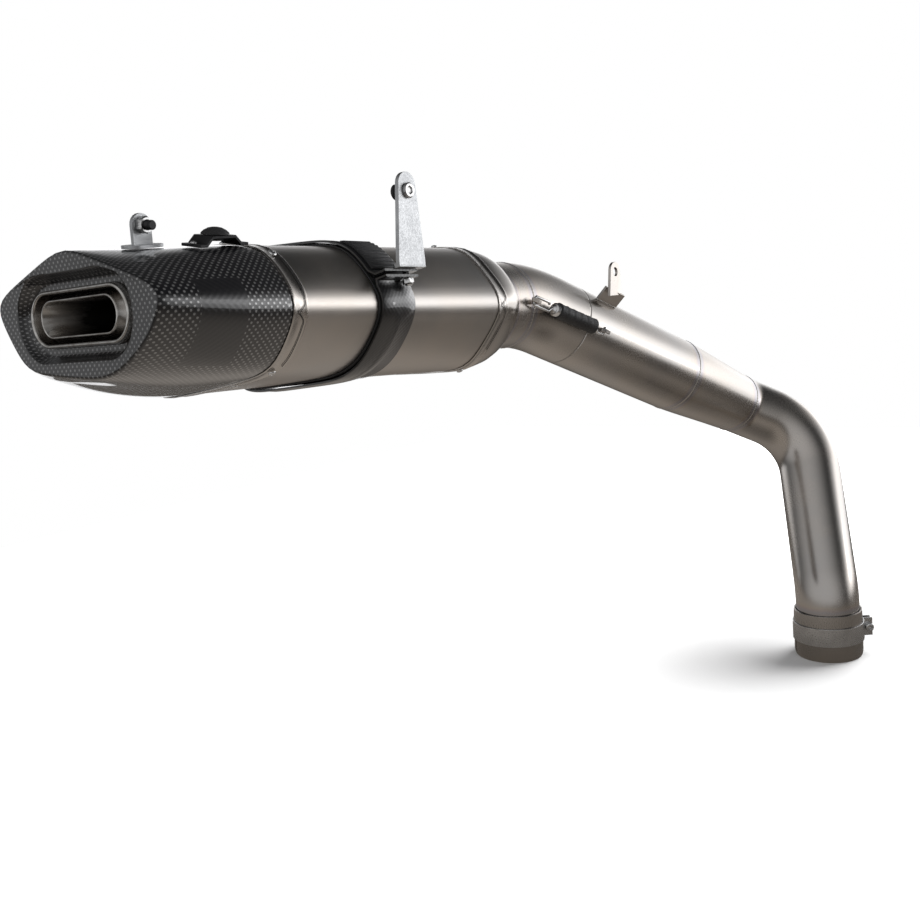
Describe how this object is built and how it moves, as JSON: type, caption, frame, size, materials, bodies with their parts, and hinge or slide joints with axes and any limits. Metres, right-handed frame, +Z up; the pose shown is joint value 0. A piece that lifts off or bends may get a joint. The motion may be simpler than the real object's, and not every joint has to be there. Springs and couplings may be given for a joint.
{
  "type": "racing exhaust system",
  "caption": "Racing exhaust: six-sided silencer with woven end cap, hanger clamp and oval outlet, spring-held slip joint, tapered link pipe and slotted inlet with band clamp.",
  "frame": {"origin": "centre of the inlet socket's lower end, where the header pipe enters", "axes": "+Z runs up the inlet socket, +Y runs forward along the silencer from its outlet end to its inlet end, +X is the side that carries the hanger bracket"},
  "size_m": [0.3435, 0.7359, 0.4575],
  "materials": {
    "aluminium": "bead-blasted aluminium",
    "black_steel": "black coated steel",
    "carbon": "glossy woven carbon fibre",
    "dark_titanium": "heat-darkened titanium",
    "rubber": "matt black rubber",
    "steel": "bright steel",
    "titanium": "satin brushed titanium",
    "wool": "loose basalt packing"
  },
  "bodies": {
    "link": {"link_pipe": "titanium", "reducer_cone": "titanium", "down_pipe": "titanium", "link_bracket": "titanium", "spring_1": "steel", "spring_sleeve_1": "rubber", "link_hook_1": "titanium", "spring_2": "steel", "spring_sleeve_2": "rubber", "link_hook_2": "titanium", "inlet_socket": "titanium"},
    "muffler": {"sleeve": "titanium", "rear_band": "titanium", "front_band": "titanium", "end_cap": "carbon", "outlet_tube": "titanium", "noise_insert": "dark_titanium", "inlet_cone": "titanium", "inlet_tube": "titanium", "core_tube": "dark_titanium", "rear_bulkhead": "titanium", "front_bulkhead": "titanium", "packing": "wool", "rear_rivet_1": "steel", "rear_rivet_2": "steel", "rear_rivet_3": "steel", "rear_rivet_4": "steel", "rear_rivet_5": "steel", "rear_rivet_6": "steel", "front_rivet_1": "steel", "front_rivet_2": "steel", "front_rivet_3": "steel", "front_rivet_4": "steel", "clamp_lining": "rubber", "clamp_strap": "carbon", "ear_bolt": "steel", "ear_nut": "steel", "rear_bracket": "aluminium", "rear_bracket_bolt": "black_steel", "rear_bracket_nut": "steel", "bridge_bracket": "black_steel", "bridge_grommet": "rubber", "bridge_rivet_1": "steel", "bridge_rivet_2": "steel", "spring_loop_1": "steel", "muffler_hook_1": "titanium", "spring_loop_2": "steel", "muffler_hook_2": "titanium"},
    "hanger": {"hanger_bracket": "aluminium", "hanger_bolt": "steel", "hanger_collar": "rubber"},
    "inlet_clamp": {"band_clamp": "steel", "clamp_bolt": "steel", "clamp_nut": "steel"}
  },
  "joints": [
    {"name": "muffler_slip", "type": "slide", "parent": "link", "child": "muffler", "axis": [-0.2426, -0.8886, 0.3894], "range_m": [0, 0.01], "stiffness_N_per_m": 4000, "springref_m": -0.005},
    {"name": "hanger_swivel", "type": "hinge", "parent": "muffler", "child": "hanger", "pos_m": [-0.12234, -0.44839, 0.39239], "axis": [-0.2079, 0.0273, 0.9778], "range_deg": [-8, 8]},
    {"name": "inlet_clamp_turn", "type": "hinge", "parent": "link", "child": "inlet_clamp", "pos_m": [0, 0, 0.025], "axis": [0, 0, 1], "range_deg": [-25, 25]}
  ]
}
